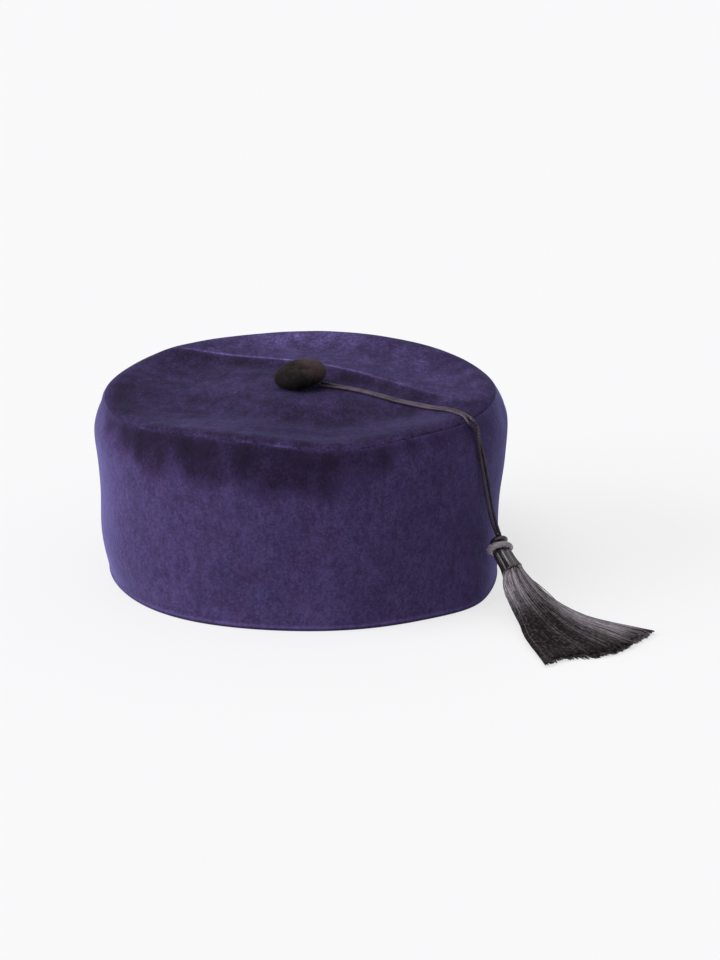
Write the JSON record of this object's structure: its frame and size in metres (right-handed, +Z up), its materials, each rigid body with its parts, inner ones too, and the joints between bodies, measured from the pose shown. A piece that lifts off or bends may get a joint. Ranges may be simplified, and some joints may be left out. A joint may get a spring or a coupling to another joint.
{
  "type": "smoking cap",
  "caption": "Round soft velvet smoking cap with a low flat crown, a covered button, and a doubled silk cord laid over the rim to a fanned tassel.",
  "frame": {"origin": "middle of the cap's hem, on the surface that the cap stands on", "axes": "+Z up out of the crown, the front faces -Y, +X to the right of the front, where the cord goes over the rim"},
  "size_m": [0.2672, 0.2453, 0.1044],
  "materials": {
    "cap_velvet": "crushed purple velvet with a short pile and a blue violet sheen",
    "button_cloth": "brown black cloth drawn over a button mould",
    "cord_silk": "twisted grey black silk cord",
    "tassel_silk": "grey black silk threads with a soft shine"
  },
  "bodies": {
    "root": {"side_band": "cap_velvet", "crown_top": "cap_velvet", "covered_button": "button_cloth", "cord_strand_a": "cord_silk", "cord_strand_b": "cord_silk", "tassel_collar": "tassel_silk", "tassel_head": "tassel_silk", "tassel_skirt": "tassel_silk"}
  },
  "joints": []
}
